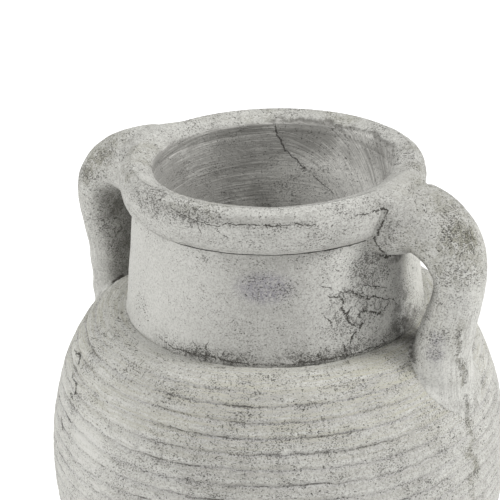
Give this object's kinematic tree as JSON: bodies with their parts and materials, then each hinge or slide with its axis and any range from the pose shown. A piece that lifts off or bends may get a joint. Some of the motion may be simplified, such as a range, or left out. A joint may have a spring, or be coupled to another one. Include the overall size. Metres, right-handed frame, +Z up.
{
  "type": "amphora planter",
  "caption": "Round-bellied amphora planter with a ribbed shoulder, straight neck, rolled rim and a looped handle on each side.",
  "frame": {"origin": "centre of the face that the foot ring stands on", "axes": "+Z up along the pot's axis; +X through the middle of the right handle, and the left handle 3 degrees past -X"},
  "size_m": [0.3676, 0.3676, 0.491],
  "materials": {
    "weathered_clay": "unglazed, pale grey cement-like wash, rough, pitted and stained",
    "bare_clay": "unglazed, wiped, darker grey inside",
    "joint_slip": "dry slip in the joints, dark and crumbly"
  },
  "bodies": {
    "root": {"foot_ring": "weathered_clay", "lower_body": "weathered_clay", "upper_body": "weathered_clay", "neck": "weathered_clay", "rim": "weathered_clay", "handle_left": "weathered_clay", "handle_right": "weathered_clay", "floor_slab": "bare_clay", "foot_slip": "joint_slip", "floor_slip": "joint_slip", "belly_slip": "joint_slip", "neck_slip": "joint_slip", "rim_slip": "joint_slip", "handle_left_foot_slip": "joint_slip", "handle_left_root_slip": "joint_slip", "handle_right_foot_slip": "joint_slip", "handle_right_root_slip": "joint_slip"}
  },
  "joints": []
}
